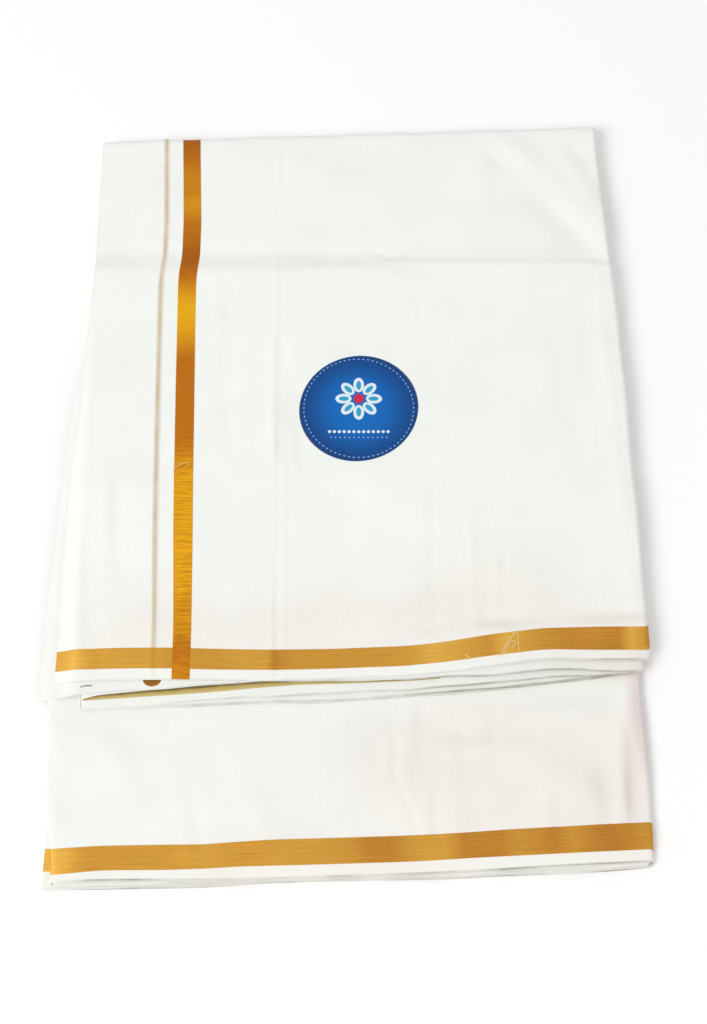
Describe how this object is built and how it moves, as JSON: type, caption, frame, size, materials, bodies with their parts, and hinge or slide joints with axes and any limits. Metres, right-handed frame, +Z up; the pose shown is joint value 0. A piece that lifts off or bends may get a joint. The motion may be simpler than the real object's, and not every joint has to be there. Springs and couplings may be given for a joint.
{
  "type": "folded dhoti cloth",
  "caption": "White cotton dhoti with woven gold borders, folded flat into a packet: a shorter flap of layers lies on a longer back half, with a round blue label on the flap.",
  "frame": {"origin": "middle of the packet's box, on the surface that it lies on", "axes": "+X across the packet towards its closed side folds, +Y along it from the loose hems to the top fold, +Z up through the layers"},
  "size_m": [0.5084, 0.7224, 0.0204],
  "materials": {
    "white_cotton": "fine plain-woven bleached cotton with a faint smooth lustre",
    "border_zari": "gold zari thread woven along the hems, satin metallic",
    "end_zari": "deeper gold zari thread woven crosswise, satin metallic, from copper to bright gold with the light",
    "tan_thread": "a few pale tan threads woven crosswise, matt",
    "label_paper": "coated paper sticker, deep blue with a white dashed ring and a plain rosette"
  },
  "bodies": {
    "root": {"front_panel": "white_cotton", "underside_panel": "white_cotton", "second_layer": "white_cotton", "hidden_layers": "white_cotton", "flap_inner_layer": "white_cotton", "back_panel": "white_cotton", "flap_border_left": "border_zari", "flap_border_right": "border_zari", "back_border": "border_zari", "under_layer_border": "border_zari", "third_layer_border": "border_zari", "end_band": "end_zari", "second_layer_band": "end_zari", "end_line": "tan_thread", "label": "label_paper"}
  },
  "joints": []
}
